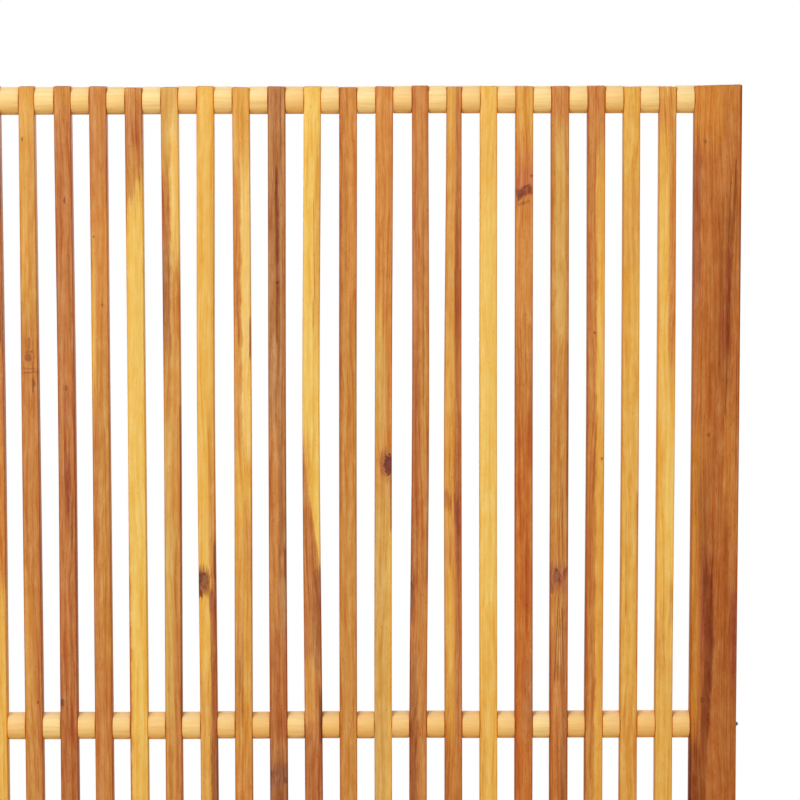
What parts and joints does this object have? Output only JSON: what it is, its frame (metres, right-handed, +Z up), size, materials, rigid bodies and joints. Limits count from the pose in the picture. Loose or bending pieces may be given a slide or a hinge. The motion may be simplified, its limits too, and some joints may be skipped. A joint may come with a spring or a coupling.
{
  "type": "garden privacy screen",
  "caption": "Flat garden privacy screen of upright hardwood slats, round wooden spacers and wider end boards, tied through by steel rods.",
  "frame": {"origin": "on the ground under the middle of the panel's width and thickness", "axes": "+Z up along the slats, +X to the right along the rows, the front faces -Y"},
  "size_m": [0.9036, 0.026, 1.8],
  "materials": {
    "oiled_hardwood": "oiled, satin, tone varies from slat to slat",
    "pale_spacer_wood": "turned, unstained, lightly oiled",
    "zinc_plated_steel": "dulled zinc"
  },
  "bodies": {
    "root": {"slat_01": "oiled_hardwood", "slat_02": "oiled_hardwood", "slat_03": "oiled_hardwood", "slat_04": "oiled_hardwood", "slat_05": "oiled_hardwood", "slat_06": "oiled_hardwood", "slat_07": "oiled_hardwood", "slat_08": "oiled_hardwood", "slat_09": "oiled_hardwood", "slat_10": "oiled_hardwood", "slat_11": "oiled_hardwood", "slat_12": "oiled_hardwood", "slat_13": "oiled_hardwood", "slat_14": "oiled_hardwood", "slat_15": "oiled_hardwood", "slat_16": "oiled_hardwood", "slat_17": "oiled_hardwood", "slat_18": "oiled_hardwood", "slat_19": "oiled_hardwood", "slat_20": "oiled_hardwood", "slat_21": "oiled_hardwood", "slat_22": "oiled_hardwood", "slat_23": "oiled_hardwood", "slat_24": "oiled_hardwood", "end_board_left": "oiled_hardwood", "end_board_right": "oiled_hardwood", "spacer_row_1": "pale_spacer_wood", "spacer_row_2": "pale_spacer_wood", "spacer_row_3": "pale_spacer_wood", "spacer_row_4": "pale_spacer_wood", "tie_rod_1": "zinc_plated_steel", "tie_rod_2": "zinc_plated_steel", "tie_rod_3": "zinc_plated_steel", "tie_rod_4": "zinc_plated_steel", "washer_left_1": "zinc_plated_steel", "washer_right_1": "zinc_plated_steel", "washer_left_2": "zinc_plated_steel", "washer_right_2": "zinc_plated_steel", "washer_left_3": "zinc_plated_steel", "washer_right_3": "zinc_plated_steel", "washer_left_4": "zinc_plated_steel", "washer_right_4": "zinc_plated_steel", "nut_left_1": "zinc_plated_steel", "nut_right_1": "zinc_plated_steel", "nut_left_2": "zinc_plated_steel", "nut_right_2": "zinc_plated_steel", "nut_left_3": "zinc_plated_steel", "nut_right_3": "zinc_plated_steel", "nut_left_4": "zinc_plated_steel", "nut_right_4": "zinc_plated_steel"}
  },
  "joints": []
}
